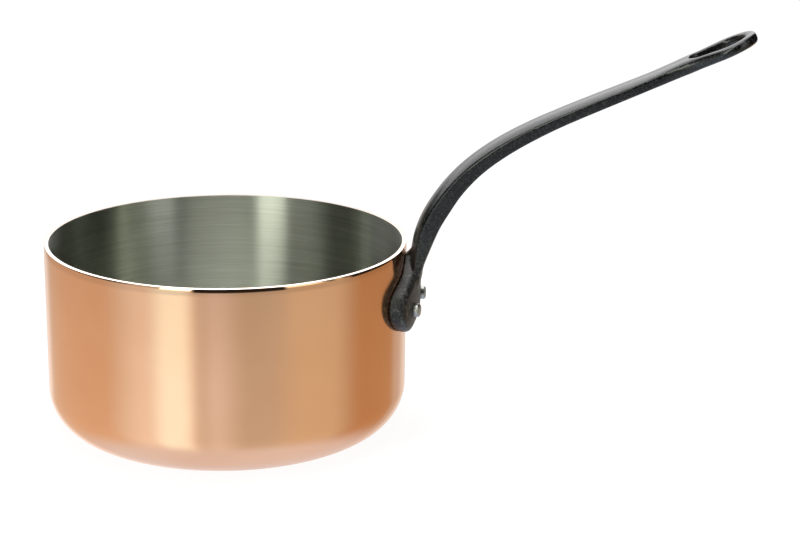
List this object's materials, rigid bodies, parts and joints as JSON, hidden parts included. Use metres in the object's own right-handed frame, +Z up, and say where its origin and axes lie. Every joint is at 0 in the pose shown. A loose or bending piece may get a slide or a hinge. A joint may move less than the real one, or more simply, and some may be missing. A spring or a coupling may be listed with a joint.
{
  "type": "saucepan",
  "caption": "Straight-sided copper saucepan with a thin steel lining and a riveted cast-iron handle that rises from a pear-shaped pad to a hanging eye.",
  "frame": {"origin": "centre of the flat underside of the pan's base, on the axis of the round body", "axes": "+Z up along the body's axis through the open rim, +X out along the handle, +Y across the handle by the right-hand rule"},
  "size_m": [0.307, 0.16, 0.1836],
  "materials": {
    "copper": "polished copper",
    "lining_steel": "brushed",
    "handle_iron": "dark, fine-grained, satin",
    "rivet_steel": "satin"
  },
  "bodies": {
    "root": {"copper_shell": "copper", "steel_lining": "lining_steel", "handle": "handle_iron", "rivet_left": "rivet_steel", "rivet_right": "rivet_steel"}
  },
  "joints": []
}
